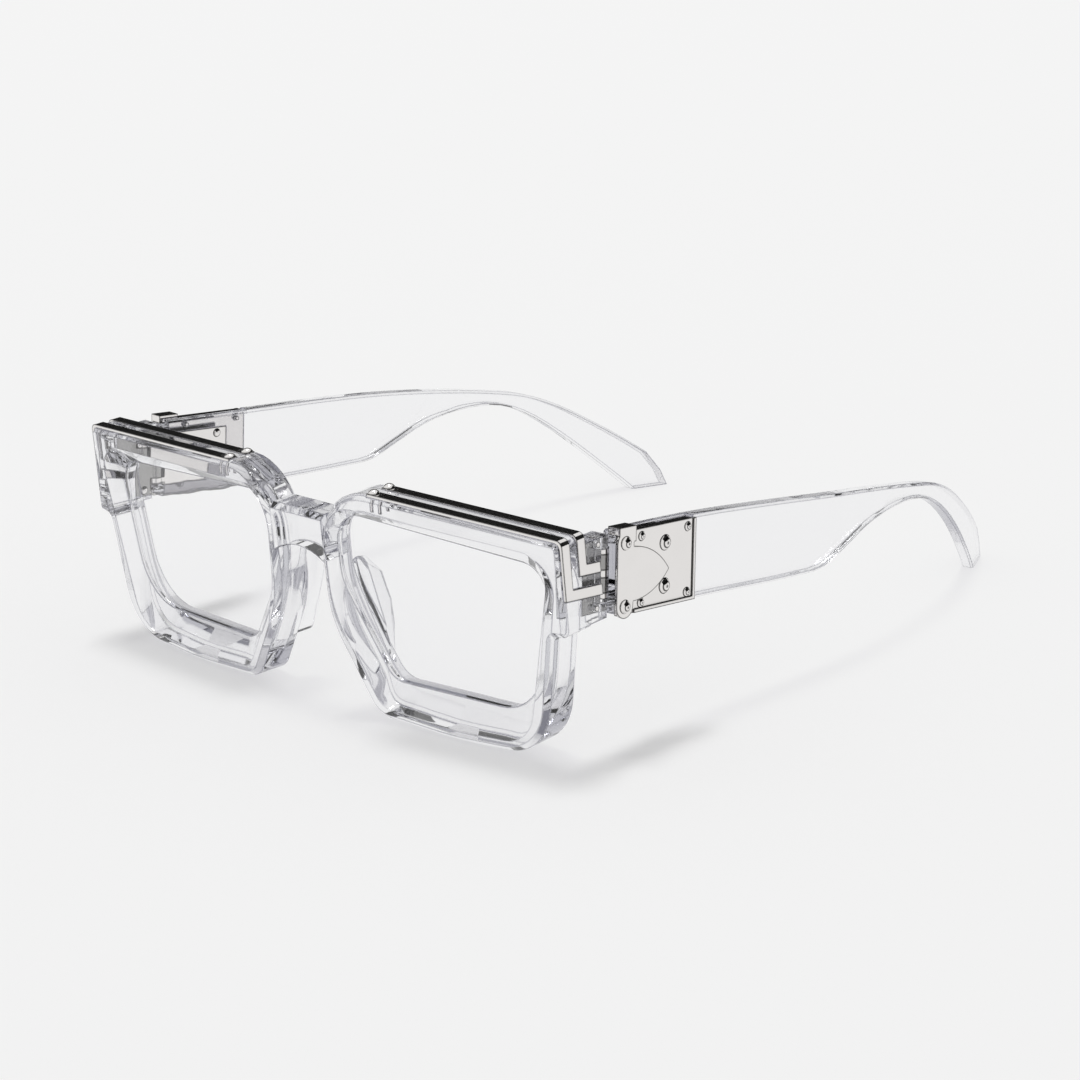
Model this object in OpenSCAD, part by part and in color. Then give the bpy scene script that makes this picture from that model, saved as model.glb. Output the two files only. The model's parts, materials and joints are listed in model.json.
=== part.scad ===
// Square eyeglasses: clear moulded front and temples, polished metal strips, cover plates and barrel hinges.
// Millimetres. The front faces -Y, the temples run towards +Y, the wearer's left is +X, Z = 0 is the table.
// The front and both temples stand as they rest on a table: on the rim bottoms and the temple ends.

/* [Front] */
// Width of the rim between the lens opening and the end of the front
side_wall = 5.7; // [5:0.1:8]
// Height of the rim over the lens opening
brow_wall = 5.8; // [5:0.1:8]
// Thickness of the front from face to back
front_depth = 8; // [7.5:0.25:10]
// Fall of the brow line from the bridge to the end piece
brow_drop = 2; // [0:0.1:3]
// Turn of each half round the wearer's face, in degrees
wrap_angle = 4.1; // [0:0.1:7]
// Bevel round the outer edge of the front face
outer_bevel = 1.1; // [0.5:0.1:1.5]
// Bevel round the outer edge of the back face
back_bevel = 0.6; // [0.2:0.1:1]
// Lean of the whole pair when it stands on a table, in degrees
rest_lean = 1; // [0:0.25:3]

/* [Lenses] */
// Width of one lens opening
lens_width = 56.4; // [52:0.2:60]
// Height of one lens opening
lens_height = 33.2; // [28:0.2:36]
// Distance between the two lens openings
lens_gap = 18.8; // [16:0.2:22]
// Height of the lower lens edge over the rim bottom
lens_floor = 8.4; // [6:0.1:10]
// Distance from the front face back to the lens
lens_setback = 3; // [2:0.1:4]
// Thickness of a lens
lens_thick = 2; // [1.2:0.1:2.5]
// Depth of the groove that holds the lens edge
lens_lip = 0.6; // [0.4:0.1:1]

/* [Ridge of the front face] */
// Width of the front face over the lens
ridge_top = 3.7; // [2:0.1:5]
// Width of the front face under the lens
ridge_bottom = 2.4; // [1.5:0.1:4]
// Width of the front face beside the end piece
ridge_side = 2.6; // [1.5:0.1:4]
// Width of the front face beside the nose
ridge_nose = 1.2; // [1.1:0.1:2]

/* [Bridge and nose pads] */
// Depth of the dip from the brow line to the top of the bridge
bridge_dip = 6.6; // [5.5:0.1:8]
// Height of the bridge over its arch
bridge_height = 7.6; // [6:0.1:9]
// Distance that the bridge's face lies behind the front face
bridge_setback = 1; // [0.5:0.1:2]
// Reach of the nose pads behind the back face
pad_reach = 6; // [3:0.1:6.5]
// Radius of the nose pads' rounded edge
pad_round = 1.3; // [1:0.1:1.5]

/* [End pieces] */
// Height of the end piece from its underside to the brow line's peak
end_height = 21; // [19.5:0.1:22.5]
// Thickness of the lug that carries the hinge
lug_thick = 4.2; // [3.8:0.1:5]
// Height of the lug at the hinge
lug_height = 15.8; // [14:0.1:17]

/* [Metal strips] */
// Width of a strip
strip_width = 2.15; // [1.6:0.05:2.4]
// Thickness of a strip
strip_thick = 0.9; // [0.6:0.05:1.2]
// Height that a strip stands out of the plastic
strip_proud = 0.25; // [0.1:0.05:0.4]
// Distance from the front face to the middle of the front strip
front_strip_inset = 1.9; // [1.7:0.05:2.2]
// Distance from the back face to the middle of the rear strip
rear_strip_inset = 1.9; // [1.7:0.05:2.2]
// Distance from the rim's inner end to the strips' inner ends
strip_inset = 15; // [11:0.2:20]
// Radius of the bend over the outer corner
strip_bend = 1.4; // [1.2:0.1:2]

/* [Hinges] */
// Distance from the end of the front inwards to the hinge axis
hinge_inset = 4.2; // [4:0.05:4.6]
// Distance from the back face to the hinge axis
lug_reach = 6.24; // [5.5:0.02:8]
// Distance from the brow line's peak down to the middle of the hinge
hinge_drop = 12.3; // [11.8:0.1:13]
// Radius of a hinge knuckle
knuckle_radius = 1.5; // [1.2:0.05:1.6]
// Radius of the pivot screw's shank
screw_radius = 0.7; // [0.5:0.05:0.8]
// Height of one of the front leaf's two knuckles
front_knuckle = 2.8; // [2.4:0.05:2.8]
// Height of the middle knuckle of the temple's leaf
middle_knuckle = 1.5; // [1:0.05:1.6]
// Height of the outer knuckles of the temple's leaf
outer_knuckle = 1.2; // [1:0.05:1.3]
// Thickness of both hinge leaves
leaf_thick = 0.8; // [0.6:0.05:1]
// Running gap between knuckles
knuckle_gap = 0.06; // [0.04:0.01:0.1]
// Radial gap round the pivot screw
screw_gap = 0.05; // [0.02:0.01:0.09]

/* [Temples] */
// Fall of the temple against the front's own axis, in degrees
temple_pitch = 8.2; // [6:0.1:9]
// Turn of the open temple towards the head, in degrees
temple_splay = 3.4; // [2:0.1:5]
// Length of the temple along its own axis, hinge to tip
temple_length = 134; // [126:0.5:142]
// Height of the temple behind the hinge
temple_height = 16.4; // [16:0.1:18]
// Thickness of the temple at the hinge
temple_thick = 4.1; // [3.8:0.1:4.6]
// Thickness of the temple at the tip
tip_thick = 3; // [2.5:0.1:4]
// Bevel along the temple's edges
temple_bevel = 0.5; // [0.3:0.1:0.8]
// Inward curl of the temple at its tip
temple_curl = 14.5; // [8:0.5:18]

/* [Cover plates] */
// Length of the cover plate along the temple
plate_length = 21.8; // [20:0.1:24]
// Height of the plastic that shows under the cover plate
plate_margin = 0.1; // [0:0.05:0.4]
// Depth of the recess in the temple's top that the plate's flange fills
flange_seat = 0.95; // [0.7:0.05:1.1]
// Reach of the flange over the temple's top, from the plate's face
flange_reach = 2.8; // [2:0.1:4]
// Thickness of the cover plate
plate_thick = 0.7; // [0.5:0.05:0.9]
// Width of the raised rim at the cover plate's rear and lower edges
plate_rim = 0.7; // [0.4:0.05:1]
// Height of that raised rim
plate_rim_proud = 0.25; // [0.1:0.05:0.4]
// Thickness of the tongue plate
tongue_thick = 0.5; // [0.4:0.05:0.7]
// Reach of the tongue's point behind the hinge axis
tongue_reach = 14.9; // [12:0.1:17]
// Width of one ear of the tongue plate
ear_width = 4.6; // [3.6:0.1:5]
// Radius of the ear rivets
ear_rivet_radius = 1.4; // [1:0.05:1.5]
// Radius of the centre rivets
centre_rivet_radius = 1.6; // [1.2:0.05:1.8]
// Radius of the corner rivets
corner_rivet_radius = 1; // [0.6:0.05:1.1]

/* [Hidden] */
$fn = 48;

// Colours of the clear mouldings, lenses, polished metal and hinge steel
clear_tint = [0.9, 0.91, 0.93, 0.45];
lens_tint = [0.93, 0.95, 0.97, 0.3];
nickel_tint = [0.84, 0.83, 0.82];
steel_tint = [0.3, 0.29, 0.29];

// Side of the wearer: the left is +X
left = 1;
right = -1;

// Thin layer that a loft starts or ends with, overrun of a cut, and gap round a seated piece
layer = 0.02;
overrun = 1;
seat_gap = 0.05;

// Steps of a rounded corner, and stations along a temple
corner_steps = 9;
bend_steps = 6;
temple_steps = 46;
hole_steps = 24;

// Boxes of the three outlines of a rim: outer wall, ridge of the front face, lens opening
lens_inner = lens_gap / 2;
lens_outer = lens_inner + lens_width;
half_width = lens_outer + side_wall;
front_height = lens_floor + lens_height + brow_wall;
rim_wall = 2.2;
rim_inner = lens_inner - rim_wall;
end_floor = front_height - end_height;
rim_box = [rim_inner, half_width, 0, front_height];
ridge_box = [rim_inner + ridge_nose, half_width - ridge_side, ridge_bottom, front_height - ridge_top];
lens_box = [lens_inner, lens_outer, lens_floor, lens_floor + lens_height];

// Corners of those outlines: place across, place up and radius, as shares of the outline's box
end_share = end_floor / front_height;
rim_shares = [
    [0.18, 0.024, 0.13], [0.5, 0, 2], [0.872, 0.024, 0.27],
    [0.872 + 0.128 * end_share, end_share, 0.03], [1, end_share, 0.036],
    [1, 1 - brow_drop / front_height, 0.04], [0, 1, 0.28], [0, 0.42, 0.45]
];
ridge_shares = [
    [0.2, 0.022, 0.11], [0.5, 0, 2], [0.85, 0.022, 0.2], [1, 0.96, 0.14], [0, 1, 0.2], [0.012, 0.46, 0.5]
];
lens_shares = [
    [0.216, 0, 0.15], [0.9, 0, 0.36], [1, 0.91, 0.17], [0, 1, 0.2], [0, 0.57, 0.36]
];

// Bridge: its top and the top of its arch
bridge_top = front_height - bridge_dip;
bridge_arch = bridge_top - bridge_height;

// Nose pad: place across, up and backwards, as shares of the lens gap, the arch's height and the pad's reach
pad_shares = [
    [0.58, 0.9, 0], [0.89, 0.3, 0], [0.45, 0.86, 0.7], [0.54, 0.77, 1], [0.635, 0.62, 1],
    [0.69, 0.49, 0.88], [0.735, 0.34, 0.65]
];
pad_steps = 32;

// Half height of the hinge and of the notch in the lug, and the notch's depth in front of the axis
hinge_half = middle_knuckle / 2 + front_knuckle + outer_knuckle + 2 * knuckle_gap;
notch_gap = 0.3;
notch_half = hinge_half + notch_gap;
notch_depth = 3.3;
lug_end = 1.4;
lug_step = 2;
temple_gap = 0.25;
temple_front = knuckle_radius + temple_gap;

// Hinge axis: depth behind the half front's face, distance from the middle of the glasses, depth and height
hinge_depth = front_depth + lug_reach;
hinge_x = half_width - hinge_inset;
hinge_y = (hinge_depth + hinge_x * sin(wrap_angle)) / cos(wrap_angle);
hinge_z = front_height - hinge_drop;

// Depth of the strips' middles behind the front face, and place of their inner ends
front_strip_depth = front_strip_inset;
rear_strip_depth = front_depth - rear_strip_inset;
strip_start = rim_inner + strip_inset;

// Faces of the lug and temple, measured from the hinge axis towards the outside
inner_face = -1.1;
lug_outer = inner_face + lug_thick;
temple_outer = inner_face + temple_thick;

// Front leaf: reach along the lug and half its height, places of its rivets and their sizes
front_leaf_reach = 6.6;
front_leaf_half = 7.2;
front_rivet_y = -3.3;
front_rivet_z = 6.1;
leaf_rivet_radius = 0.6;
leaf_rivet_head = 0.95;
leaf_rivet_length = 2.6;
rivet_head_height = 0.35;

// Reach of the temple's leaf along the temple, and half its height round the centre rivets
temple_leaf_reach = 16.6;
leaf_margin = 1.2;
leaf_clearance = 0.3;

// Pivot screw's head and its slot
screw_head_radius = 1.25;
screw_head_height = 0.5;
screw_slot = 0.4;

// Studs at the inner ends of the strips
stud_radius = 1.25;
stud_rise = 0.8;
stud_leg_radius = 0.45;
stud_leg_length = 3.6;
peg_offset = 2.2;

// Temple's side view and curl: distance along, and height or curl, as shares of its length, height and curl
temple_top_shares = [
    [0, 0.49], [0.164, 0.5], [0.34, 0.48], [0.492, 0.433], [0.597, 0.378], [0.687, 0.305], [0.746, 0.226],
    [0.806, 0.055], [0.866, -0.2], [0.925, -0.49], [0.97, -0.78], [1, -1.3]
];
temple_bottom_shares = [
    [0, -0.49], [0.157, -0.5], [0.313, -0.49], [0.388, -0.475], [0.44, -0.445], [0.492, -0.265],
    [0.545, -0.06], [0.597, 0.06], [0.657, 0.118], [0.709, 0.08], [0.761, -0.097], [0.821, -0.42],
    [0.881, -0.81], [0.94, -1.23], [1, -1.75]
];
temple_curl_shares = [
    [0, 0], [0.187, 0], [0.336, -0.121], [0.448, -0.194], [0.56, -0.156], [0.672, -0.047], [0.731, 0.047],
    [0.784, 0.163], [0.836, 0.315], [0.896, 0.537], [0.955, 0.793], [1, 1]
];

// Cover plate: start in front of its ears, recess in the plastic and flange over the top edge
plate_start = 1;
plate_recess = 0.3;
flange_start = 5.5;
flange_thick = 0.6;
plate_top = temple_height / 2 - flange_seat;
plate_bottom = -temple_height / 2 + plate_margin;
plate_face = temple_outer - plate_recess + plate_thick;

// Rivet places on the plate: along the temple and up from the hinge's middle
centre_rivet_y = 14.2;
centre_rivet_drop = 2.2;
corner_rivet_z = -plate_bottom - plate_rim - corner_rivet_radius;
centre_rivet_z = corner_rivet_z - centre_rivet_drop;
corner_edge = 0.5;
corner_rivet_front = flange_start + 2 * corner_rivet_radius;
corner_rivet_rear = plate_start + plate_length - plate_rim - corner_rivet_radius - corner_edge;
temple_leaf_half = max(centre_rivet_z + leaf_margin, hinge_half);
rivet_sink = 1.6;
rivet_shank_radius = 0.45;
centre_shank_radius = 0.7;
ear_rivet_rise = 0.9;
centre_rivet_rise = 0.8;
corner_rivet_rise = 0.55;

// Tongue plate: edges of the ears, and the shoulders where the tongue leaves them
ear_front = 0.3;
ear_overhang = 0.6;
ear_top = -plate_bottom;
ear_bottom = plate_bottom - ear_overhang;
top_ear_height = 3.2;
bottom_ear_height = 3;
ear_inner_top = ear_top - top_ear_height;
ear_inner_bottom = ear_bottom + bottom_ear_height;
tongue_point_z = -0.8;
tongue_radius = 13;

// The hood that folds from the tongue plate over the temple's top: its start, thickness and reach
hood_start = 0.8;
hood_thick = 1.6;
hood_reach = 3;

// Lift and place of the resting pose: the rim bottoms touch the table with a thin flat
table_cut = 0.15;
front_most = rim_inner * sin(wrap_angle) - bridge_top * sin(rest_lean);
tip_drop = temple_height * temple_top_shares[len(temple_top_shares) - 1][1];
tip_fall = temple_pitch - rest_lean;
tip_y = hinge_y - hinge_z * sin(rest_lean) - temple_curl * sin(temple_splay)
    + temple_length * cos(tip_fall) * cos(temple_splay) + tip_drop * sin(tip_fall);
rest_shift = -(front_most + tip_y) / 2;

function unit(v) = v / norm(v);

// Turn from one direction to another, between -180 and 180 degrees
function turn(from, to) = (to - from + 540) % 360 - 180;

// Points of an arc of radius r that rounds corner p between its neighbours a and b, moved inwards by inset
function corner_arc(a, p, b, r, inset) =
    let (
        to_a = unit(a - p),
        to_b = unit(b - p),
        half = acos(to_a * to_b) / 2,
        centre = p + unit(to_a + to_b) * r / sin(half),
        start = p + to_a * r / tan(half) - centre,
        finish = p + to_b * r / tan(half) - centre,
        first = atan2(start.y, start.x),
        sweep = turn(first, atan2(finish.y, finish.x)),
        size = r - inset * sign(cross(p - a, b - p))
    )
    [
        for (i = [0 : corner_steps])
            centre + size * [cos(first + sweep * i / corner_steps), sin(first + sweep * i / corner_steps)]
    ];

// Rounded outline in a box [x0, x1, z0, z1] from corners given as shares of the box, moved inwards by inset
function outline(shares, box, inset = 0) =
    let (
        w = box[1] - box[0],
        h = box[3] - box[2],
        n = len(shares),
        p = [for (s = shares) [box[0] + s[0] * w, box[2] + s[1] * h]]
    )
    [
        for (i = [0 : n - 1])
            each corner_arc(p[(i + n - 1) % n], p[i], p[(i + 1) % n], shares[i][2] * h, inset)
    ];

ridge_outline = outline(ridge_shares, ridge_box);
lens_outline = outline(lens_shares, lens_box);

// Lift of the resting pose: the lowest point of the leaning rim lies a table cut under the table
rest_lift = -table_cut - min([
    for (p = outline(rim_shares, rim_box))
        p.y * cos(rest_lean) + (outer_bevel * cos(wrap_angle) + p.x * sin(wrap_angle)) * sin(rest_lean)
]);

// Smooth value at s from a table of [place, value] pairs
function table_index(table, s) = max([for (i = [0 : len(table) - 2]) if (s >= table[i][0]) i]);
function table_slope(table, i) =
    let (a = table[max(i - 1, 0)], b = table[min(i + 1, len(table) - 1)])
    (b[1] - a[1]) / (b[0] - a[0]);
function smooth_value(table, s) =
    let (
        i = table_index(table, s),
        a = table[i],
        b = table[i + 1],
        span = b[0] - a[0],
        t = (s - a[0]) / span,
        rise = b[1] - a[1],
        from = table_slope(table, i) * span,
        to = table_slope(table, i + 1) * span
    )
    a[1] + from * t + (3 * rise - 2 * from - to) * pow(t, 2) + (from + to - 2 * rise) * pow(t, 3);

// Temple's edges, inward curl and thickness at a distance y along it
function temple_top(y) = temple_height * smooth_value(temple_top_shares, y / temple_length);
function temple_bottom(y) = temple_height * smooth_value(temple_bottom_shares, y / temple_length);
function temple_inset(y) = temple_curl * smooth_value(temple_curl_shares, y / temple_length);
function temple_thickness(y) = temple_thick + (tip_thick - temple_thick) * min(max(y / temple_length, 0), 1);

// Frames: the resting pose, one half of the front, and one hinge with its temple
module resting() {
    translate([0, rest_shift, rest_lift])
        rotate([rest_lean, 0, 0])
            children();
}

module on_side(side) {
    if (side == left)
        children();
    else
        mirror([1, 0, 0])
            children();
}

module half_frame() {
    rotate([0, 0, wrap_angle])
        children();
}

module hinge_frame() {
    translate([hinge_x, hinge_y, hinge_z])
        rotate([0, 0, temple_splay])
            rotate([-temple_pitch, 0, 0])
                children();
}

// A drawing in the plane of the front (x across, y up), as thick as from depth t0 to depth t1
module slab(t0, t1) {
    rotate([90, 0, 0])
        translate([0, 0, -t1])
            linear_extrude(t1 - t0)
                children();
}

// A drawing in the plane of a temple (x along it, y up), as thick as from x0 to x1 outwards
module side_plate(x0, x1) {
    rotate([90, 0, 90])
        translate([0, 0, x0])
            linear_extrude(x1 - x0)
                children();
}

// A box from one corner to the other
module block(low, high) {
    translate(low)
        cube(high - low);
}

// Removes what is below the table
module cut_at_table() {
    difference() {
        children();
        block(
            [-2 * half_width, -2 * temple_length, -temple_length],
            [2 * half_width, 2 * temple_length, 0]
        );
    }
}

// A solid through rings of equally many points, each ring a list of [across, up] at its depth
module loft(depths, rings) {
    n = len(rings[0]);
    last = len(rings) - 1;
    polyhedron(
        points = [for (k = [0 : last]) for (p = rings[k]) [p.x, depths[k], p.y]],
        faces = [
            [for (i = [n - 1 : -1 : 0]) i],
            [for (i = [0 : n - 1]) last * n + i],
            for (k = [0 : last - 1])
                for (i = [0 : n - 1])
                    let (j = (i + 1) % n)
                    [k * n + i, k * n + j, (k + 1) * n + j, (k + 1) * n + i]
        ]
    );
}

// The rim with its end piece, bevelled round both faces
module rim_solid() {
    loft(
        [0, outer_bevel, front_depth - back_bevel, front_depth],
        [for (inset = [outer_bevel, 0, 0, back_bevel]) outline(rim_shares, rim_box, inset)]
    );
}

// The lens's space: its outline as thick as the lens, and the V that runs round its edge
module lens_space(gap) {
    middle = lens_setback + lens_thick / 2;
    hull() {
        slab(lens_setback + gap, lens_setback + lens_thick - gap)
            offset(delta = -gap)
                polygon(lens_outline);
        slab(middle - layer, middle + layer)
            offset(delta = lens_lip - gap)
                polygon(lens_outline);
    }
}

module lens_opening() {
    hull() {
        slab(-overrun, 0)
            polygon(ridge_outline);
        slab(lens_setback - layer, lens_setback)
            polygon(lens_outline);
    }
    lens_space(0);
    hull() {
        slab(lens_setback, lens_setback + lens_thick)
            polygon(lens_outline);
        slab(front_depth, front_depth + overrun)
            offset(delta = back_bevel)
                polygon(lens_outline);
    }
}

// The lug behind the end piece, its underside and top running straight to the hinge
module lug() {
    under = end_floor + lug_step / 2;
    over = front_height - brow_drop - lug_step;
    middle = hinge_z + lug_end * sin(temple_pitch);
    half_frame()
        side_plate(half_width - lug_thick, half_width - seat_gap)
            polygon([
                [front_depth / 2, under],
                [hinge_depth, middle - lug_height / 2],
                [hinge_depth, middle + lug_height / 2],
                [front_depth / 2, over]
            ]);
}

module nose_pad() {
    hull()
        for (p = pad_shares)
            translate([
                p[0] * lens_gap,
                front_depth - pad_round + p[2] * pad_reach,
                p[1] * bridge_arch
            ])
                sphere(pad_round, $fn = pad_steps);
}

module bridge() {
    reach = rim_inner + ridge_nose / 2;
    arch_radius = 2 * rim_inner;
    difference() {
        hull() {
            block(
                [-reach, bridge_setback + outer_bevel, bridge_arch - ridge_top],
                [reach, front_depth - back_bevel, bridge_top]
            );
            block(
                [-reach, bridge_setback, bridge_arch - ridge_top],
                [reach, front_depth, bridge_top - outer_bevel]
            );
        }
        slab(-overrun, front_depth + overrun)
            translate([0, bridge_arch - arch_radius])
                circle(arch_radius);
    }
}

// Brow line: its slope, its direction and the direction square to it
brow_angle = atan(brow_drop / (half_width - rim_inner));
brow_along = [cos(brow_angle), -sin(brow_angle)];
brow_up = [sin(brow_angle), cos(brow_angle)];

// Centre of the strips' bend over the outer corner
bend_u = half_width + strip_proud - strip_bend;
bend_z = front_height - (bend_u - rim_inner) * tan(brow_angle)
    - (strip_bend - strip_proud) / cos(brow_angle);

// Middle of a front knuckle over the hinge's middle, and where the strips end in front of it
knuckle_centre = middle_knuckle / 2 + knuckle_gap + front_knuckle / 2;
strip_end = hinge_depth - notch_depth - seat_gap;

// Arc of the bend at radius r, from the brow to the side
function bend_arc(r) =
    [
        for (i = [0 : bend_steps])
            let (a = (90 - brow_angle) * (1 - i / bend_steps))
            [bend_u, bend_z] + r * [cos(a), sin(a)]
    ];
function reversed(list) = [for (i = [len(list) - 1 : -1 : 0]) list[i]];

// A strip: along the brow, round the outer corner, down the side and back to the hinge.
// t is its depth behind the face, rise its leg's height above the hinge's middle.
// A seat for it has a gap on all hidden sides and runs out past the open ones.
module strip(t, rise, seat = false) {
    gap = seat ? seat_gap : 0;
    open = seat ? overrun : 0;
    half = strip_width / 2 + gap;
    high = strip_bend + open;
    low = strip_bend - strip_thick - gap;
    start = [bend_u, bend_z] - brow_along * ((bend_u - strip_start) / cos(brow_angle) + half);
    side = bend_u + high;
    leg_z = hinge_z + rise;
    fall = tan(temple_pitch);
    rear = strip_end + open;
    half_frame()
        intersection() {
            slab(t - half, rear)
                polygon([
                    start + brow_up * high, each bend_arc(high), [side, end_floor],
                    [bend_u + low, end_floor], each reversed(bend_arc(low)), start + brow_up * low
                ]);
            side_plate(start.x - overrun, side + overrun)
                polygon([
                    [t - half, leg_z - half + (hinge_depth - t + half) * fall],
                    [rear, leg_z - half + (hinge_depth - rear) * fall],
                    [rear, leg_z + half + (hinge_depth - rear) * fall],
                    [t + half, leg_z + half + (hinge_depth - t - half) * fall],
                    [t + half, front_height + 2 * overrun],
                    [t - half, front_height + 2 * overrun]
                ]);
        }
}

// The place of a stud on a strip at depth t, with its axis square to the brow
module at_stud(t) {
    half_frame()
        translate([rim_inner, 0, front_height])
            rotate([0, brow_angle, 0])
                translate([strip_start - rim_inner, t, strip_proud])
                    children();
}

// The leg of a stud, and the headless peg beside it, both through the strip into the plastic
module stud_legs(t, grow) {
    at_stud(t)
        for (x = [0, peg_offset])
            translate([x, 0, -stud_leg_length])
                cylinder(r = stud_leg_radius + grow, h = stud_leg_length);
}

// A round cap: base radius, rise, standing on z = 0
module dome(radius, rise) {
    ball = (pow(radius, 2) + pow(rise, 2)) / (2 * rise);
    intersection() {
        translate([0, 0, rise - ball])
            sphere(ball);
        cylinder(r = radius, h = rise);
    }
}

// A cylinder along the hinge axis, from height low to height high
module along_axis(radius, low, high) {
    translate([0, 0, low])
        cylinder(r = radius, h = high - low);
}

// A cylinder square to the temple's side, at y, z, from x = low to x = high
module across(y, z, radius, low, high) {
    translate([low, y, z])
        rotate([0, 90, 0])
            cylinder(r = radius, h = high - low);
}

// Heights of the knuckles: [low, high] pairs of the front leaf and of the temple's leaf
front_low = middle_knuckle / 2 + knuckle_gap;
front_high = front_low + front_knuckle;
front_knuckles = [[front_low, front_high], [-front_high, -front_low]];
temple_knuckles = [
    [-middle_knuckle / 2, middle_knuckle / 2],
    [front_high + knuckle_gap, hinge_half],
    [-hinge_half, -front_high - knuckle_gap]
];

// A hinge leaf's knuckles, each with the arm that joins it to the leaf at direction toward (1 or -1 along y)
module knuckles(spans, toward) {
    arm = knuckle_radius + leaf_clearance;
    for (span = spans)
        difference() {
            union() {
                along_axis(knuckle_radius, span[0], span[1]);
                block(
                    [inner_face, min(toward * (arm + seat_gap), 0), span[0]],
                    [inner_face + leaf_thick, max(toward * (arm + seat_gap), 0), span[1]]
                );
            }
            along_axis(screw_radius + screw_gap, span[0] - overrun, span[1] + overrun);
        }
}

module front_hinge_solid() {
    difference() {
        block(
            [inner_face, -front_leaf_reach, -front_leaf_half],
            [inner_face + leaf_thick, -knuckle_radius - leaf_clearance, front_leaf_half]
        );
        front_rivet_holes(leaf_rivet_radius + seat_gap, inner_face - overrun);
    }
    knuckles(front_knuckles, -1);
}

module front_rivet_holes(radius, from) {
    for (z = [-front_rivet_z, front_rivet_z])
        across(front_rivet_y, z, radius, from, inner_face + leaf_rivet_length);
}

module front_rivets_solid() {
    front_rivet_holes(leaf_rivet_radius, inner_face - layer);
    for (z = [-front_rivet_z, front_rivet_z])
        translate([inner_face, front_rivet_y, z])
            rotate([0, -90, 0])
                dome(leaf_rivet_head, rivet_head_height);
}

module screw_solid() {
    along_axis(screw_radius, -hinge_half, hinge_half + layer);
    difference() {
        along_axis(screw_head_radius, hinge_half, hinge_half + screw_head_height);
        block(
            [-screw_head_radius, -screw_slot / 2, hinge_half + screw_head_height / 2],
            [screw_head_radius, screw_slot / 2, hinge_half + overrun]
        );
    }
}

module temple_hinge_solid() {
    difference() {
        block(
            [inner_face, knuckle_radius + leaf_clearance, -temple_leaf_half],
            [inner_face + leaf_thick, temple_leaf_reach, temple_leaf_half]
        );
        centre_rivet_shanks(centre_shank_radius + seat_gap);
    }
    knuckles(temple_knuckles, 1);
}

module centre_rivet_shanks(radius) {
    for (z = [-centre_rivet_z, centre_rivet_z])
        across(centre_rivet_y, z, radius, inner_face - overrun, plate_face + layer);
}

module centre_rivets_solid() {
    for (z = [-centre_rivet_z, centre_rivet_z]) {
        across(centre_rivet_y, z, centre_shank_radius, inner_face - layer, plate_face + layer);
        translate([plate_face, centre_rivet_y, z])
            rotate([0, 90, 0])
                dome(centre_rivet_radius, centre_rivet_rise);
        translate([inner_face, centre_rivet_y, z])
            rotate([0, -90, 0])
                dome(leaf_rivet_head, rivet_head_height);
    }
}

// Places [y, z] of the rivets in the tongue plate's ears, and of the cover plate's corner rivets
half_ear = ear_width / 2;
ear_places = [for (z = [ear_top - half_ear, ear_bottom + half_ear]) [ear_front + half_ear, z]];
corner_places = [
    for (y = [corner_rivet_front, corner_rivet_rear], z = [-corner_rivet_z, corner_rivet_z]) [y, z]
];

module shanks(places, radius, high) {
    for (p = places)
        across(p[0], p[1], radius, temple_outer - rivet_sink, high);
}

module domed_rivets(places, radius, rise, face) {
    shanks(places, rivet_shank_radius, face + layer);
    for (p = places)
        translate([face, p[0], p[1]])
            rotate([0, 90, 0])
                dome(radius, rise);
}

module cover_plate_solid() {
    rear = plate_start + plate_length;
    low = plate_bottom;
    high = plate_top + seat_gap;
    top = high + flange_thick;
    under = plate_face - plate_thick;
    raised = plate_face + plate_rim_proud;
    difference() {
        union() {
            block([under, plate_start, low], [plate_face, rear, top]);
            block([plate_face - flange_reach, flange_start, high], [plate_face, rear, top]);
            block([plate_face - layer, rear - plate_rim, low], [raised, rear, top]);
            block([plate_face - layer, flange_start, low], [raised, rear, low + plate_rim]);
        }
        block(
            [under - overrun, plate_start - overrun, high - layer],
            [plate_face + overrun, flange_start, top + overrun]
        );
        centre_rivet_shanks(centre_shank_radius + seat_gap);
        shanks(concat(ear_places, corner_places), rivet_shank_radius + seat_gap, plate_face + overrun);
    }
}

// Centre of a circle of radius r through p and q, on the left of the line from p to q
function circle_centre(p, q, r) =
    let (d = q - p, rise = sqrt(pow(r, 2) - pow(norm(d) / 2, 2)))
    (p + q) / 2 + rise * unit([-d.y, d.x]);

module tongue_plate_solid() {
    low = plate_face;
    high = plate_face + tongue_thick;
    shoulder = ear_front + ear_width;
    point = [tongue_reach, tongue_point_z];
    upper = circle_centre(point, [shoulder, ear_inner_top], tongue_radius);
    lower = circle_centre([shoulder, ear_inner_bottom], point, tongue_radius);
    flange_low = plate_top + seat_gap;
    hood_end = flange_start - seat_gap;
    hood_top = flange_low + hood_thick;
    difference() {
        union() {
            block([low, ear_front, ear_bottom + half_ear], [high, shoulder, ear_top - half_ear]);
            across(ear_front + half_ear, ear_top - half_ear, half_ear, low, high);
            across(ear_front + half_ear, ear_bottom + half_ear, half_ear, low, high);
            intersection() {
                across(upper.x, upper.y, tongue_radius, low, high);
                across(lower.x, lower.y, tongue_radius, low, high);
                block([low, shoulder - layer, ear_inner_bottom], [high, tongue_reach, ear_inner_top]);
            }
            block([high - hood_reach, hood_start, flange_low], [high, hood_end, hood_top]);
            block([low, hood_start, ear_top - half_ear], [high, hood_end, hood_top]);
        }
        shanks(ear_places, rivet_shank_radius + seat_gap, high + overrun);
    }
}

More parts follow.
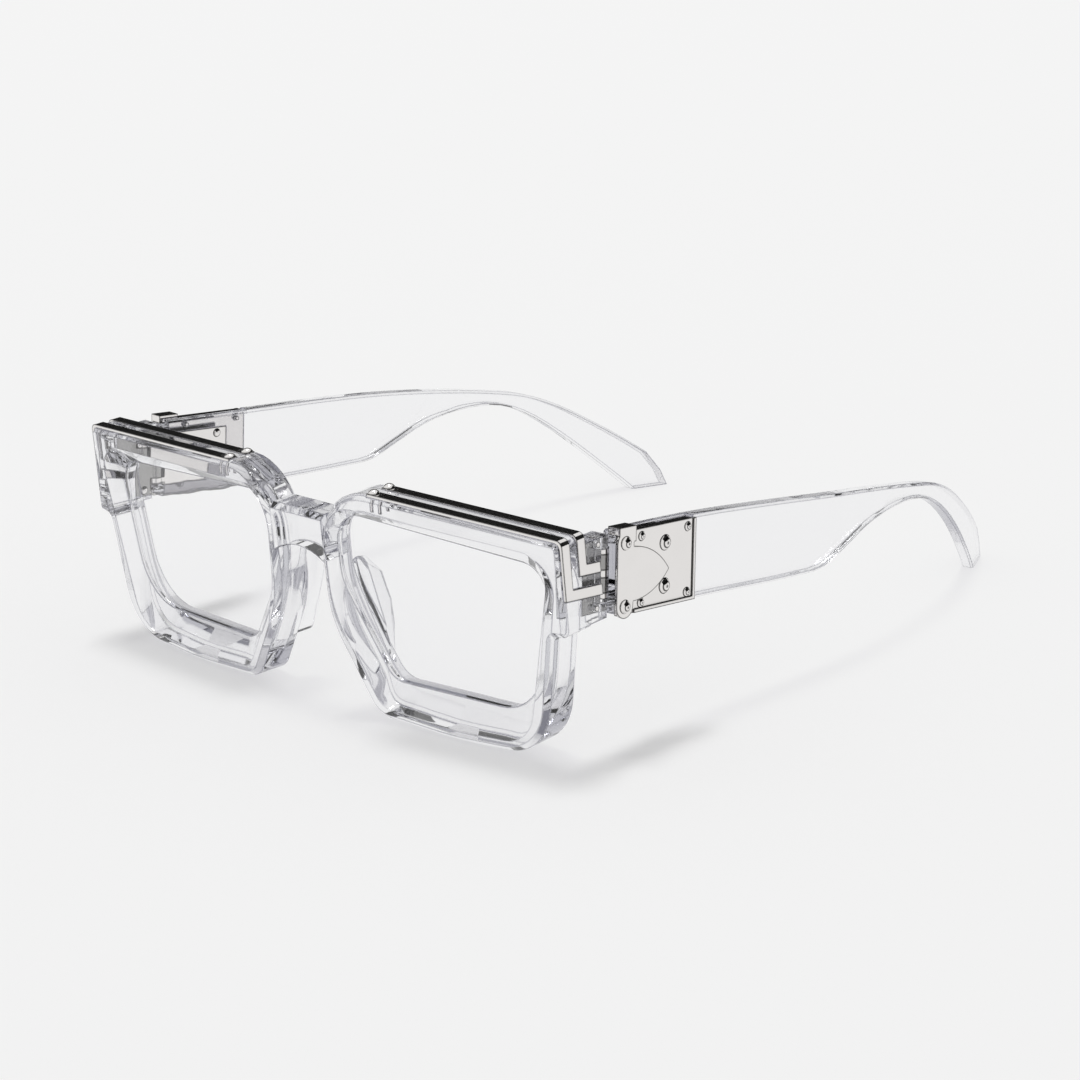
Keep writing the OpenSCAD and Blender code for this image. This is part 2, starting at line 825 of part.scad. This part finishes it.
module strip_pair_spaces() {
    strip(front_strip_depth, -knuckle_centre, seat = true);
    strip(rear_strip_depth, knuckle_centre, seat = true);
    stud_legs(front_strip_depth, seat_gap, $fn = hole_steps);
    stud_legs(rear_strip_depth, seat_gap, $fn = hole_steps);
}

// Room in the lug for the hinge: the notch for the knuckles, the pocket for the leaf and its rivets
module lug_spaces() {
    hinge_frame() {
        block(
            [inner_face - lug_thick, -notch_depth, -notch_half],
            [lug_outer + overrun, lug_end, notch_half]
        );
        block(
            [inner_face - lug_thick, -lug_end, -lug_height],
            [lug_outer + overrun, lug_thick, lug_height]
        );
        block(
            [inner_face - overrun, -front_leaf_reach - seat_gap, -front_leaf_half - seat_gap],
            [inner_face + leaf_thick + seat_gap, 0, front_leaf_half + seat_gap]
        );
        front_rivet_holes(leaf_rivet_radius + seat_gap, inner_face);
    }
}

module both_sides() {
    children();
    mirror([1, 0, 0])
        children();
}

module front_frame() {
    color(clear_tint)
        cut_at_table()
            resting()
                difference() {
                    union() {
                        both_sides() {
                            half_frame() {
                                rim_solid();
                                nose_pad();
                            }
                            lug();
                        }
                        bridge();
                    }
                    both_sides() {
                        half_frame()
                            lens_opening();
                        strip_pair_spaces();
                        lug_spaces();
                    }
                }
}

module temple_slice(y) {
    top = temple_top(y);
    low = temple_bottom(y);
    outer = temple_outer - temple_inset(y);
    inner = outer - temple_thickness(y);
    translate([0, y, 0])
        rotate([90, 0, 0])
            linear_extrude(layer)
                polygon([
                    [inner + temple_bevel, low], [outer - temple_bevel, low],
                    [outer, low + temple_bevel], [outer, top - temple_bevel],
                    [outer - temple_bevel, top], [inner + temple_bevel, top],
                    [inner, top - temple_bevel], [inner, low + temple_bevel]
                ]);
}

module temple_body() {
    step = (temple_length - temple_front) / temple_steps;
    for (i = [0 : temple_steps - 1])
        hull() {
            temple_slice(temple_front + i * step);
            temple_slice(temple_front + (i + 1) * step);
        }
}

// Room in the temple for the plates, the flange and hood over its top, the hinge leaf and the rivets
module temple_spaces() {
    plate_end = plate_start + plate_length + seat_gap;
    top_reach = max(flange_reach, hood_reach - tongue_thick) + seat_gap;
    leaf_half = temple_leaf_half + seat_gap;
    block(
        [temple_outer - plate_recess - seat_gap, 0, -temple_height],
        [temple_outer + overrun, plate_end, temple_height]
    );
    block([plate_face - top_reach, 0, plate_top], [temple_outer + overrun, plate_end, temple_height]);
    block(
        [inner_face - overrun, 0, -leaf_half],
        [inner_face + leaf_thick + seat_gap, temple_leaf_reach + seat_gap, leaf_half]
    );
    centre_rivet_shanks(centre_shank_radius + seat_gap, $fn = hole_steps);
    shanks(concat(ear_places, corner_places), rivet_shank_radius + seat_gap, plate_face, $fn = hole_steps);
}

module temple(side) {
    color(clear_tint)
        cut_at_table()
            resting()
                on_side(side)
                    hinge_frame()
                        difference() {
                            temple_body();
                            temple_spaces();
                        }
}

// A piece in its place on one side of the front, and on one side's hinge
module on_front(side) {
    resting()
        on_side(side)
            children();
}

module on_hinge(side) {
    on_front(side)
        hinge_frame()
            children();
}

module lens(side) {
    color(lens_tint)
        on_front(side)
            half_frame()
                lens_space(seat_gap);
}

module front_rail(side) {
    color(nickel_tint)
        on_front(side)
            difference() {
                strip(front_strip_depth, -knuckle_centre);
                stud_legs(front_strip_depth, seat_gap);
            }
}

module rear_rail(side) {
    color(nickel_tint)
        on_front(side)
            difference() {
                strip(rear_strip_depth, knuckle_centre);
                stud_legs(rear_strip_depth, seat_gap);
            }
}

module rail_studs(side) {
    color(nickel_tint)
        on_front(side)
            for (t = [front_strip_depth, rear_strip_depth]) {
                stud_legs(t, 0);
                at_stud(t)
                    dome(stud_radius, stud_rise);
            }
}

module front_hinge(side) {
    color(steel_tint)
        on_hinge(side)
            front_hinge_solid();
}

module front_hinge_rivets(side) {
    color(nickel_tint)
        on_hinge(side)
            front_rivets_solid();
}

module hinge_screw(side) {
    color(steel_tint)
        on_hinge(side)
            screw_solid();
}

module temple_hinge(side) {
    color(nickel_tint)
        on_hinge(side)
            temple_hinge_solid();
}

module cover_plate(side) {
    color(nickel_tint)
        on_hinge(side)
            cover_plate_solid();
}

module tongue_plate(side) {
    color(nickel_tint)
        on_hinge(side)
            tongue_plate_solid();
}

module ear_rivets(side) {
    color(nickel_tint)
        on_hinge(side)
            domed_rivets(ear_places, ear_rivet_radius, ear_rivet_rise, plate_face + tongue_thick);
}

module centre_rivets(side) {
    color(nickel_tint)
        on_hinge(side)
            centre_rivets_solid();
}

module corner_rivets(side) {
    color(nickel_tint)
        on_hinge(side)
            domed_rivets(corner_places, corner_rivet_radius, corner_rivet_rise, plate_face);
}

front_frame();
lens(left);  // lens_left
lens(right);  // lens_right
front_rail(left);  // front_rail_left
front_rail(right);  // front_rail_right
rear_rail(left);  // rear_rail_left
rear_rail(right);  // rear_rail_right
rail_studs(left);  // rail_studs_left
rail_studs(right);  // rail_studs_right
front_hinge(left);  // front_hinge_left
front_hinge(right);  // front_hinge_right
front_hinge_rivets(left);  // front_hinge_rivets_left
front_hinge_rivets(right);  // front_hinge_rivets_right
hinge_screw(left);  // hinge_screw_left
hinge_screw(right);  // hinge_screw_right
temple_hinge(left);  // temple_hinge_left
temple_hinge(right);  // temple_hinge_right
temple(left);  // temple_left
temple(right);  // temple_right
cover_plate(left);  // cover_plate_left
cover_plate(right);  // cover_plate_right
tongue_plate(left);  // tongue_plate_left
tongue_plate(right);  // tongue_plate_right
ear_rivets(left);  // ear_rivets_left
ear_rivets(right);  // ear_rivets_right
centre_rivets(left);  // centre_rivets_left
centre_rivets(right);  // centre_rivets_right
corner_rivets(left);  // corner_rivets_left
corner_rivets(right);  // corner_rivets_right
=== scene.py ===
import bpy
import bmesh
import json
import math
from mathutils import Matrix, Vector


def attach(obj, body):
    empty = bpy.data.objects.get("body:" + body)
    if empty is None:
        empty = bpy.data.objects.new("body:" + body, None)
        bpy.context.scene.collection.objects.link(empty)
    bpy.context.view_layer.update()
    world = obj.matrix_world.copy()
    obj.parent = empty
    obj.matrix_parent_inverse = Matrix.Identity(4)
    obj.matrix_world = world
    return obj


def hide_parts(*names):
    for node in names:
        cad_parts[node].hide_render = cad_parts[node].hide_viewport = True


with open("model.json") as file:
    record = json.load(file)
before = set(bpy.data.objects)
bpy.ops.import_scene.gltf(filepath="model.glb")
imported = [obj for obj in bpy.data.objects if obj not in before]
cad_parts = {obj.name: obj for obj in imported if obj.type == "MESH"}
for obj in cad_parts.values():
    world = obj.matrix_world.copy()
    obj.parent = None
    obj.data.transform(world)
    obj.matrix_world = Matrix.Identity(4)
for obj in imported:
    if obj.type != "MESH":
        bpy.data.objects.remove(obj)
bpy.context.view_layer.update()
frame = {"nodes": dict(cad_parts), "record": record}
NODES = frame["nodes"]

# Camera: place, turn and lens fitted to the photograph, in metres, degrees and millimetres
CAMERA_BACK_AZIMUTH = 47.929
CAMERA_ELEVATION = 17.5015
CAMERA_ROLL = -4.2035
CAMERA_AT = Vector((0.58037, -0.53310, 0.26335))
CAMERA_LENS = 131.07
CAMERA_SENSOR = 36
CAMERA_NEAR = 0.01
CAMERA_FAR = 20

# Noises: scale, detail, roughness, and stretch along x, y and z
EVEN = (1, 1, 1)
HANDLING_MARKS = (900, 4, 0.6, EVEN)
LONG_WAVES = (60, 2, 0.4, EVEN)
FLOW_LINES = (260, 2, 0.4, (0.3, 1, 1))
SMUDGES = (130, 3, 0.6, EVEN)
METAL_GRAIN = (2600, 2, 0.5, (1, 0.06, 1))
SCRATCHES = (1500, 2, 0.5, (1, 0.03, 1))
# The values that most of a noise lies between
NOISE_RANGE = (0.3, 0.7)

# Bumps: strength and height in metres
LONG_WAVE_BUMP = (0.1, 0.0006)
FLOW_LINE_BUMP = (0.1, 0.0002)
SCRATCH_HEIGHT = 0.00004

# Painted edge lines, which are painted dark reflections along edges: the cosines between face and rounded
# edge where the line is full and where it ends
CLEAR_EDGE = (0.95, 0.997)
METAL_EDGE = (0.93, 0.995)
LINE_SAMPLES = 8
ROUNDING_SAMPLES = 6

# Clear plastic and lenses
# Painted dark reflections: the grey painted along the edges of clear plastic and lenses
PAINTED_EDGE_SHADE = (0.2, 0.2, 0.24, 1)
TRAPPED_GREY = (0.66, 0.66, 0.69, 1)
TRAPPED_DEPTH = 4.5
MARKS_ROUGHNESS = (0.6, 1.8)

# Metals: shares of the metal's own colour and roughness, and where creases get painted shade
SMUDGE_TONE = 0.93
SMUDGE_ROUGHNESS = (0.7, 1.2)
GRAIN_ROUGHNESS = 0.5
# Painted shade in creases and painted dark reflections along edges, as a share of the metal's colour
PAINTED_SHADE_TONE = 0.1
CREASE_REACH = 0.0007
CREASE_SAMPLES = 8
CREASE_RANGE = (0.5, 0.9)
NICKEL_COLOR = (0.86, 0.84, 0.825, 1)
STEEL_COLOR = (0.36, 0.355, 0.35, 1)

# Domed heads: the left plate's outward direction, and the painted reflection on a head, which is a dark
# ring and a dark centre mark.
# Each step is the cosine between a head's face and that direction, and the lightness there
PLATE_OUTWARD = (0.99824, 0.0593, 0)
REFLECTION_RING_STEPS = ((0, 1), (0.84, 1), (0.87, 0), (0.91, 0), (0.935, 1), (0.982, 1), (0.992, 0.1))
DOMED_PIECES = ("ear_rivets", "centre_rivets", "corner_rivets")

# Smooth copies: corners sharper than this many degrees stay sharp, and points this near are one
SHARP_CORNER = 22
SAME_POINT = 0.000002

# Studio: lightness, metres and watts
SURROUND_SHOWN = 0.887
SURROUND_LIGHT = 0.6
# A diffuse depth below this means that no surface has scattered the ray
SCATTERED_ONCE = 0.5
FLOOR_SIZE = 8
FLOOR_WHITE = 0.9
KEY_AT = (-1.1, 1.1, 8)
KEY_AIM = (0, 0, 0.02)
KEY_SIZE = 1.9
KEY_POWER = 268
CARD_AIM = (0, 0, 0.03)
# Cards: name, place, width and height, lightness, and whether they are for looking through plastic
CARDS = (
    ("dark_flag", (-0.95, 0.88, 0.52), (2.4, 0.95), 0.02, False),
    ("rivet_flag", (0.62, 0.5, 0.44), (1.7, 0.8), 0.02, False),
    ("low_line", (-0.95, 0.88, 0.28), (2.6, 0.12), 0.08, True),
    ("edge_line", (-0.59, 0.84, 0.80), (2.2, 0.34), 0.05, True),
    ("wall_line", (-0.69, 0.37, 1.04), (1.3, 0.26), 0.05, True),
)

# Sockets of the colour Mix node, which go by number
MIX_FIRST = 6
MIX_SECOND = 7
MIX_RESULT = 2


def make_camera():
    azimuth = math.radians(CAMERA_BACK_AZIMUTH)
    elevation = math.radians(CAMERA_ELEVATION)
    roll = math.radians(CAMERA_ROLL)
    back = Vector((math.sin(azimuth) * math.cos(elevation),
                   -math.cos(azimuth) * math.cos(elevation),
                   math.sin(elevation)))
    level = (-back).cross(Vector((0, 0, 1))).normalized()
    upright = level.cross(-back)
    across = level * math.cos(roll) + upright * math.sin(roll)
    up = upright * math.cos(roll) - level * math.sin(roll)
    cam = bpy.data.objects.new("camera", bpy.data.cameras.new("camera"))
    bpy.context.scene.collection.objects.link(cam)
    pose = Matrix((across, up, back)).transposed().to_4x4()
    pose.translation = CAMERA_AT
    cam.matrix_world = pose
    cam.data.sensor_width = CAMERA_SENSOR
    cam.data.lens = CAMERA_LENS
    cam.data.clip_start = CAMERA_NEAR
    cam.data.clip_end = CAMERA_FAR
    bpy.context.scene.camera = cam


# Shader helpers

def new_material(name):
    mat = bpy.data.materials.new(name)
    mat.use_nodes = True
    mat.node_tree.nodes.clear()
    return mat, mat.node_tree


def node(nt, kind, **inputs):
    """A new node. Each keyword is an input's name, with _ for a space."""
    made = nt.nodes.new("ShaderNode" + kind)
    for key, value in inputs.items():
        made.inputs[key.replace("_", " ")].default_value = value
    return made


def link(nt, source, out, target, inp):
    nt.links.new(source.outputs[out], target.inputs[inp])


def calculate(nt, operation, first, second):
    """A Math node. Each side is a number, or a node and the name or number of its output."""
    made = nt.nodes.new("ShaderNodeMath")
    made.operation = operation
    for place, side in enumerate((first, second)):
        if isinstance(side, tuple):
            link(nt, side[0], side[1], made, place)
        else:
            made.inputs[place].default_value = side
    return made


def dot_product(nt, first, second):
    """Cosine between two directions. The second is three numbers, or a node."""
    made = nt.nodes.new("ShaderNodeVectorMath")
    made.operation = "DOT_PRODUCT"
    link(nt, first, "Normal", made, 0)
    if isinstance(second, tuple):
        made.inputs[1].default_value = second
    else:
        link(nt, second, 0, made, 1)
    return made


def mix_colors(nt, first, second):
    """A colour Mix node. Each side is a colour, or another colour Mix node."""
    made = nt.nodes.new("ShaderNodeMix")
    made.data_type = "RGBA"
    for place, side in ((MIX_FIRST, first), (MIX_SECOND, second)):
        if isinstance(side, (tuple, list)):
            made.inputs[place].default_value = side
        else:
            link(nt, side, MIX_RESULT, made, place)
    return made


def mix_shaders(nt, factor, first, second):
    made = nt.nodes.new("ShaderNodeMixShader")
    for place, source in enumerate((factor, first, second)):
        link(nt, source, 0, made, place)
    return made


def noise(nt, recipe):
    scale, detail, roughness, stretch = recipe
    at = node(nt, "TexCoord")
    turn = node(nt, "Mapping", Scale=stretch)
    made = node(nt, "TexNoise", Scale=scale, Detail=detail, Roughness=roughness)
    link(nt, at, "Object", turn, "Vector")
    link(nt, turn, "Vector", made, "Vector")
    return made


def spread(nt, source, low, high, within=NOISE_RANGE):
    """The source's values within a range, spread from low to high."""
    made = node(nt, "MapRange", From_Min=within[0], From_Max=within[1], To_Min=low, To_Max=high)
    link(nt, source, 0, made, 0)
    return made


def bump(nt, source, strength, height, under):
    made = node(nt, "Bump", Strength=strength, Distance=height)
    link(nt, source, 0, made, "Height")
    link(nt, under, 0, made, "Normal")
    return made


def rounded(nt, radius, samples):
    made = node(nt, "Bevel", Radius=radius)
    made.samples = samples
    return made


def edge_line(nt, rounding, limits):
    """1 on flat and gently curved faces, and 0 in a thin line along each edge: the mask for painted dark
    reflections along edges.
    """
    turn = dot_product(nt, node(nt, "NewGeometry"), rounding)
    line = node(nt, "MapRange", From_Min=limits[0], From_Max=limits[1])
    link(nt, turn, "Value", line, 0)
    return line


def painted_reflection_ring(nt, outward):
    """0 in the painted dark reflection ring and centre mark of a domed head that faces outward, and 1
    elsewhere.
    """
    lean = dot_product(nt, node(nt, "TexCoord"), outward)
    ring = node(nt, "ValToRGB")
    steps = ring.color_ramp.elements
    steps.remove(steps[-1])
    for number, (place, light) in enumerate(REFLECTION_RING_STEPS):
        step = steps.new(place) if number else steps[0]
        step.position = place
        step.color = (light, light, light, 1)
    link(nt, lean, "Value", ring, 0)
    return ring


def clear(name, tint, roughness, ior, absorb, density, edge, shadow):
    """A clear solid that refracts, with a faint body colour, painted grey edge lines that stand for dark
    reflections along edges, flow waves and handling marks.

    Rays past the trapped depth leave it through a pale grey, so its inside has no black patches. Shadow
    rays and rays from matt surfaces pass straight on, so its shadow is pale and has no bright patterns."""
    mat, nt = new_material(name)
    body = node(nt, "BsdfPrincipled", IOR=ior, Transmission_Weight=1)
    low, high = (roughness * share for share in MARKS_ROUGHNESS)
    link(nt, spread(nt, noise(nt, HANDLING_MARKS), low, high), 0, body, "Roughness")
    rounding = rounded(nt, edge, LINE_SAMPLES)
    # Painted dark reflection: a grey line is painted into the colour along each edge
    painted_edge_outline = mix_colors(nt, PAINTED_EDGE_SHADE, tint)
    link(nt, edge_line(nt, rounding, CLEAR_EDGE), 0, painted_edge_outline, 0)
    link(nt, painted_edge_outline, MIX_RESULT, body, "Base Color")
    waves = bump(nt, noise(nt, LONG_WAVES), *LONG_WAVE_BUMP, rounding)
    link(nt, bump(nt, noise(nt, FLOW_LINES), *FLOW_LINE_BUMP, waves), 0, body, "Normal")

    path = node(nt, "LightPath")
    deep = calculate(nt, "GREATER_THAN", (path, "Ray Depth"), TRAPPED_DEPTH)
    solid = mix_shaders(nt, deep, body, node(nt, "BsdfTransparent", Color=TRAPPED_GREY))
    passing = calculate(nt, "MAXIMUM", (path, "Is Shadow Ray"), (path, "Is Diffuse Ray"))
    surface = mix_shaders(nt, passing, solid, node(nt, "BsdfTransparent", Color=shadow))
    out = node(nt, "OutputMaterial")
    link(nt, surface, 0, out, "Surface")
    link(nt, node(nt, "VolumeAbsorption", Color=absorb, Density=density), 0, out, "Volume")
    return mat


def metal(name, color, roughness, grain, edge, line, outward=None):
    """A metal with grain, smudges, fine scratches, rounded edges, painted shade in its creases and painted
    dark reflection lines along its edges.

    outward is for domed heads only: the direction that they face. It gives them their painted dark
    reflection ring and centre mark."""
    mat, nt = new_material(name)
    body = node(nt, "BsdfPrincipled", Metallic=1)
    smudge = noise(nt, SMUDGES)
    tone = mix_colors(nt, color, [share * SMUDGE_TONE for share in color[:3]] + [1])
    link(nt, smudge, 0, tone, 0)
    # Painted shade: creases, and thin lines along edges, are darkened in the colour
    crease = node(nt, "AmbientOcclusion", Distance=CREASE_REACH)
    crease.samples = CREASE_SAMPLES
    crease.only_local = True
    open_face = spread(nt, crease, 0, 1, CREASE_RANGE)
    flat_face = edge_line(nt, rounded(nt, line, LINE_SAMPLES), METAL_EDGE)
    unshaded = calculate(nt, "MULTIPLY", (open_face, 0), (flat_face, 0))
    # Domed heads get a painted dark reflection ring and centre mark
    if outward:
        unshaded = calculate(nt, "MULTIPLY", (unshaded, 0), (painted_reflection_ring(nt, outward), 0))
    surface = mix_colors(nt, [share * PAINTED_SHADE_TONE for share in color[:3]] + [1], tone)
    link(nt, unshaded, 0, surface, 0)
    link(nt, surface, MIX_RESULT, body, "Base Color")

    low, high = (roughness * share for share in SMUDGE_ROUGHNESS)
    smudged = spread(nt, smudge, low, high)
    brushed = spread(nt, noise(nt, METAL_GRAIN), 0, roughness * GRAIN_ROUGHNESS)
    link(nt, calculate(nt, "ADD", (smudged, 0), (brushed, 0)), 0, body, "Roughness")
    rounding = rounded(nt, edge, ROUNDING_SAMPLES)
    link(nt, bump(nt, noise(nt, SCRATCHES), grain, SCRATCH_HEIGHT, rounding), 0, body, "Normal")
    link(nt, body, 0, node(nt, "OutputMaterial"), "Surface")
    return mat


SHADERS = {
    "clear_plastic": clear(
        "clear_plastic_shader", tint=(0.985, 0.985, 0.99, 1), roughness=0.012, ior=1.49,
        absorb=(0.8, 0.8, 0.83, 1), density=30, edge=0.00045, shadow=(0.94, 0.938, 0.945, 1)),
    "lens_glass": clear(
        "lens_shader", tint=(0.99, 0.99, 0.995, 1), roughness=0.004, ior=1.5,
        absorb=(0.85, 0.87, 0.9, 1), density=12, edge=0.0001, shadow=(0.97, 0.97, 0.97, 1)),
    "polished_nickel": metal(
        "polished_nickel_shader", NICKEL_COLOR, roughness=0.05, grain=0.2, edge=0.00012, line=0.00045),
    "hinge_steel": metal(
        "hinge_steel_shader", STEEL_COLOR, roughness=0.16, grain=0.15, edge=0.0001, line=0.00015),
}
# The right side's heads face the mirrored way
# Metals for the domed heads, with the painted dark reflection ring and centre mark
PAINTED_RING_METALS = {
    side: metal("painted_ring_nickel_shader_" + side, NICKEL_COLOR, roughness=0.05, grain=0.2,
                edge=0.00012, line=0.00045, outward=(way * PLATE_OUTWARD[0], *PLATE_OUTWARD[1:]))
    for side, way in (("left", 1), ("right", -1))
}


def dress():
    slots = {part["node"]: part["material_slot"] for part in frame["record"]["subparts"]}
    for name, obj in NODES.items():
        kind, _, side = name.rpartition("_")
        obj.data.materials.clear()
        obj.data.materials.append(PAINTED_RING_METALS[side] if kind in DOMED_PIECES else SHADERS[slots[name]])


def smooth_copy(name, body):
    """The same solid with its small facets shaded as the smooth curves that they stand for."""
    piece = bpy.data.objects.new(name + "_smooth", NODES[name].data.copy())
    piece.matrix_world = NODES[name].matrix_world
    bpy.context.scene.collection.objects.link(piece)
    bm = bmesh.new()
    bm.from_mesh(piece.data)
    bmesh.ops.remove_doubles(bm, verts=bm.verts, dist=SAME_POINT)
    for face in bm.faces:
        face.smooth = True
    for edge in bm.edges:
        edge.smooth = len(edge.link_faces) == 2 and edge.calc_face_angle() < math.radians(SHARP_CORNER)
    bm.to_mesh(piece.data)
    bm.free()
    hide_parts(name)
    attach(piece, body)


# Studio

def make_world():
    """Pale surroundings for what is seen, reflected or looked through, and a weaker light on surfaces."""
    world = bpy.data.worlds.new("studio")
    bpy.context.scene.world = world
    world.use_nodes = True
    nt = world.node_tree
    nt.nodes.clear()
    path = node(nt, "LightPath")
    lit = node(nt, "Background", Color=(1, 1, 1, 1), Strength=SURROUND_LIGHT)
    shown = node(nt, "Background", Color=(SURROUND_SHOWN,) * 3 + (1,), Strength=1)
    mirrored = calculate(nt, "MAXIMUM", (path, "Is Glossy Ray"), (path, "Is Transmission Ray"))
    looked_at = calculate(nt, "MAXIMUM", (path, "Is Camera Ray"), (mirrored, 0))
    unscattered = calculate(nt, "LESS_THAN", (path, "Diffuse Depth"), SCATTERED_ONCE)
    direct = calculate(nt, "MULTIPLY", (looked_at, 0), (unscattered, 0))
    link(nt, mix_shaders(nt, direct, lit, shown), 0, node(nt, "OutputWorld"), "Surface")


def matt_plane(name, at, size, lightness):
    bpy.ops.mesh.primitive_plane_add(size=size, location=at)
    plane = bpy.context.object
    plane.name = name
    mat, nt = new_material(name + "_shader")
    matt = node(nt, "BsdfDiffuse", Color=(lightness, lightness, lightness, 1))
    link(nt, matt, 0, node(nt, "OutputMaterial"), "Surface")
    plane.data.materials.append(mat)
    return plane


def make_floor():
    floor = matt_plane("floor", (0, 0, 0), FLOOR_SIZE, FLOOR_WHITE)


def aim(obj, at, to, axis):
    obj.rotation_mode = "QUATERNION"
    obj.rotation_quaternion = (Vector(to) - Vector(at)).to_track_quat(axis, "Y")


def make_key():
    light = bpy.data.objects.new("key", bpy.data.lights.new("key", "AREA"))
    light.data.size = KEY_SIZE
    light.data.energy = KEY_POWER
    light.location = KEY_AT
    aim(light, KEY_AT, KEY_AIM, "-Z")
    bpy.context.scene.collection.objects.link(light)


def make_card(name, at, size, lightness, through):
    """A card that only reflections see, or only what is looked at through clear plastic."""
    flag = matt_plane(name, at, 1, lightness)
    flag.scale = (*size, 1)
    aim(flag, at, CARD_AIM, "Z")
    flag.visible_camera = False
    flag.visible_diffuse = False
    flag.visible_shadow = False
    flag.visible_glossy = not through
    flag.visible_transmission = through


make_camera()
dress()
smooth_copy("front_frame", "front")
smooth_copy("temple_left", "left_arm")
smooth_copy("temple_right", "right_arm")
make_world()
make_floor()
make_key()
for card in CARDS:
    make_card(*card)

bpy.context.scene.view_settings.view_transform = "Standard"
